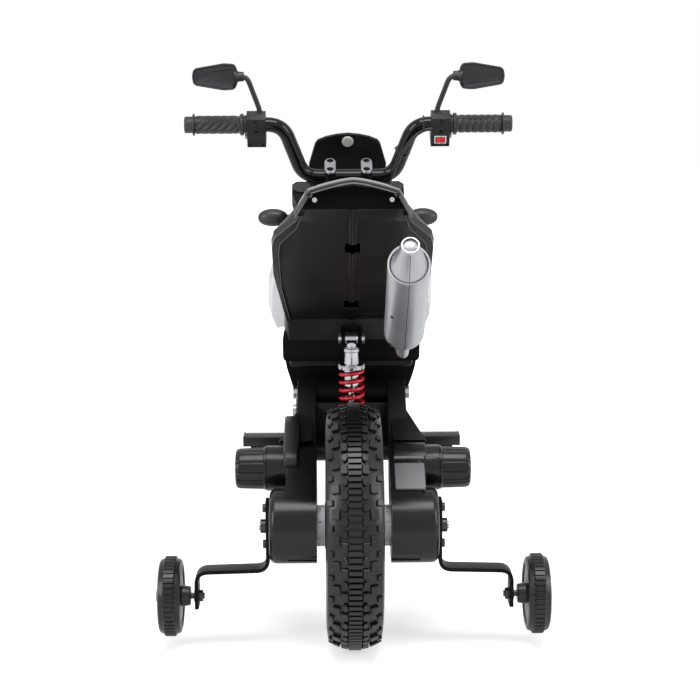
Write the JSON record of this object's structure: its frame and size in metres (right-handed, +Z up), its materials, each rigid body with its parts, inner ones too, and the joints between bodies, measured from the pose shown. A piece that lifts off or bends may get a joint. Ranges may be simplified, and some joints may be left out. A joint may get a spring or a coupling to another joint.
{
  "type": "kids electric motorbike",
  "caption": "Battery ride-on motorbike for a child, with treaded wheels, geared rear drive, a sprung rear arm, stabiliser wheels, a twist throttle and turning handlebar.",
  "frame": {"origin": "on the floor, on the mid plane, halfway between the two axles", "axes": "X to the rider's right, Y forward, Z up"},
  "size_m": [0.515, 1.0648, 0.7519],
  "materials": {
    "black_steel": "satin black powder coat",
    "satin_black_plastic": "satin moulded",
    "seat_plastic": "rigid moulded seat with a fine grain",
    "gloss_black_plastic": "gloss moulded",
    "white_plastic": "gloss moulded",
    "grey_plastic": "plain moulded",
    "grip_plastic": "fine matte texture",
    "zinc_steel": "zinc plated",
    "silver_plastic": "satin silver paint on moulded plastic",
    "tyre_black": "blown plastic tread",
    "hub_grey": "light grey moulded",
    "chrome_steel": "chrome plated",
    "spring_red": "gloss red powder coat",
    "gloss_black_steel": "gloss black powder coat",
    "clamp_grey": "grey silver paint",
    "clear_lens": "clear moulded lens",
    "cable_black": "insulated lead",
    "rocker_red": "gloss red",
    "button_grey": "pale grey",
    "mirror_grey": "dark reflective sheet"
  },
  "bodies": {
    "frame": {"main_frame": "black_steel", "body_left": "satin_black_plastic", "body_right": "satin_black_plastic", "seat": "seat_plastic", "tail_cowl": "gloss_black_plastic", "tank_cover": "gloss_black_plastic", "tank_shrouds": "white_plastic", "battery_pack": "grey_plastic", "control_board": "grey_plastic", "charge_socket": "grip_plastic", "frame_bolts": "zinc_steel", "head_bushes": "grey_plastic", "footpegs": "satin_black_plastic", "muffler_can": "silver_plastic", "muffler_cone": "silver_plastic", "exhaust_pipe": "silver_plastic"},
    "swingarm": {"swingarm": "black_steel", "gearbox_cases": "satin_black_plastic", "motor_covers": "satin_black_plastic", "drive_motors": "zinc_steel", "rear_axle": "zinc_steel", "arm_cover": "satin_black_plastic", "swingarm_bolts": "zinc_steel", "stabiliser_arms": "black_steel"},
    "rear_wheel": {"rear_tyre": "tyre_black", "rear_rim": "satin_black_plastic", "drive_hubs": "hub_grey"},
    "cluster": {"cluster_gears": "hub_grey"},
    "pinion": {"motor_pinions": "zinc_steel"},
    "stabiliser_left": {"stabiliser_wheel_left": "tyre_black"},
    "stabiliser_right": {"stabiliser_wheel_right": "tyre_black"},
    "shock_upper": {"shock_body": "chrome_steel", "shock_spring": "spring_red"},
    "shock_lower": {"shock_rod": "chrome_steel"},
    "steering": {"upper_yoke": "satin_black_plastic", "steering_stem": "satin_black_plastic", "fork_legs": "satin_black_plastic", "front_axle": "zinc_steel", "front_mudguard": "gloss_black_plastic", "handlebar": "gloss_black_steel", "bar_clamps": "clamp_grey", "grip_left": "grip_plastic", "switch_boxes": "grip_plastic", "rocker_bezel": "white_plastic", "mirror_stems": "grip_plastic", "headlight_mask": "gloss_black_plastic", "headlight_lens": "clear_lens", "front_indicators": "gloss_black_plastic", "bar_cable": "cable_black"},
    "front_wheel": {"front_tyre": "tyre_black", "front_rim": "satin_black_plastic"},
    "throttle": {"throttle_grip": "grip_plastic"},
    "rocker": {"start_rocker": "rocker_red"},
    "horn": {"horn_button": "button_grey"},
    "mode": {"mode_button": "button_grey"},
    "start": {"start_button": "silver_plastic"},
    "mirror_left_body": {"mirror_left": "grip_plastic", "mirror_glass_left": "mirror_grey"},
    "mirror_right_body": {"mirror_right": "grip_plastic", "mirror_glass_right": "mirror_grey"}
  },
  "joints": [
    {"name": "steering_turn", "type": "hinge", "parent": "frame", "child": "steering", "pos_m": [0, 0.09759, 0.56], "axis": [0, -0.5, 0.866], "range_deg": [-30, 30]},
    {"name": "front_wheel_spin", "type": "hinge", "parent": "steering", "child": "front_wheel", "pos_m": [0, 0.37241, 0.16], "axis": [1, 0, 0], "continuous": true},
    {"name": "swingarm_swing", "type": "hinge", "parent": "frame", "child": "swingarm", "pos_m": [0, -0.14741, 0.292], "axis": [1, 0, 0], "range_deg": [-5, 0], "stiffness_Nm_per_rad": 150, "springref_deg": 8.59},
    {"name": "rear_wheel_spin", "type": "hinge", "parent": "swingarm", "child": "rear_wheel", "pos_m": [0, -0.37241, 0.16], "axis": [1, 0, 0], "continuous": true},
    {"name": "cluster_spin", "type": "hinge", "parent": "swingarm", "child": "cluster", "pos_m": [0, -0.33243, 0.19426], "axis": [1, 0, 0], "continuous": true},
    {"name": "pinion_spin", "type": "hinge", "parent": "swingarm", "child": "pinion", "pos_m": [0, -0.30242, 0.21999], "axis": [1, 0, 0], "continuous": true},
    {"name": "stabiliser_left_spin", "type": "hinge", "parent": "swingarm", "child": "stabiliser_left", "pos_m": [-0.231, -0.37241, 0.067], "axis": [1, 0, 0], "continuous": true},
    {"name": "stabiliser_right_spin", "type": "hinge", "parent": "swingarm", "child": "stabiliser_right", "pos_m": [0.231, -0.37241, 0.067], "axis": [1, 0, 0], "continuous": true},
    {"name": "shock_swing", "type": "hinge", "parent": "frame", "child": "shock_upper", "pos_m": [0, -0.20241, 0.378], "axis": [1, 0, 0], "range_deg": [-2, 0.1]},
    {"name": "shock_stroke", "type": "slide", "parent": "shock_upper", "child": "shock_lower", "axis": [0, -0.0145, 0.9999], "range_m": [-0.0001, 0.0052], "deforming": ["shock_spring"]},
    {"name": "throttle_twist", "type": "hinge", "parent": "steering", "child": "throttle", "pos_m": [0.2, 0.04715, 0.66136], "axis": [1, 0, 0], "range_deg": [0, 60], "stiffness_Nm_per_rad": 0.25, "springref_deg": -11.46},
    {"name": "rocker_tilt", "type": "hinge", "parent": "steering", "child": "rocker", "pos_m": [0.137, 0.04433, 0.63825], "axis": [0, -0.5, 0.866], "range_deg": [-6, 6]},
    {"name": "horn_press", "type": "slide", "parent": "steering", "child": "horn", "axis": [1, 0, 0], "range_m": [0, 0.0019], "stiffness_N_per_m": 300, "springref_m": -0.002},
    {"name": "mode_press", "type": "slide", "parent": "steering", "child": "mode", "axis": [-1, 0, 0], "range_m": [0, 0.0019], "stiffness_N_per_m": 300, "springref_m": -0.002},
    {"name": "start_press", "type": "slide", "parent": "steering", "child": "start", "axis": [0, 0.866, 0.5], "range_m": [0, 0.0022], "stiffness_N_per_m": 300, "springref_m": -0.002},
    {"name": "mirror_left_turn", "type": "hinge", "parent": "steering", "child": "mirror_left_body", "pos_m": [-0.157, 0.00615, 0.73237], "axis": [0, 0, 1], "range_deg": [-12, 12]},
    {"name": "mirror_right_turn", "type": "hinge", "parent": "steering", "child": "mirror_right_body", "pos_m": [0.157, 0.00615, 0.73237], "axis": [0, 0, 1], "range_deg": [-12, 12]}
  ],
  "couplings": [
    {"joint": "cluster_spin", "follows": "rear_wheel_spin", "ratio": -3.6667},
    {"joint": "pinion_spin", "follows": "rear_wheel_spin", "ratio": 17.333},
    {"joint": "shock_swing", "follows": "swingarm_swing", "ratio": 0.3712},
    {"joint": "shock_stroke", "follows": "swingarm_swing", "m_per_rad": -0.05375}
  ]
}
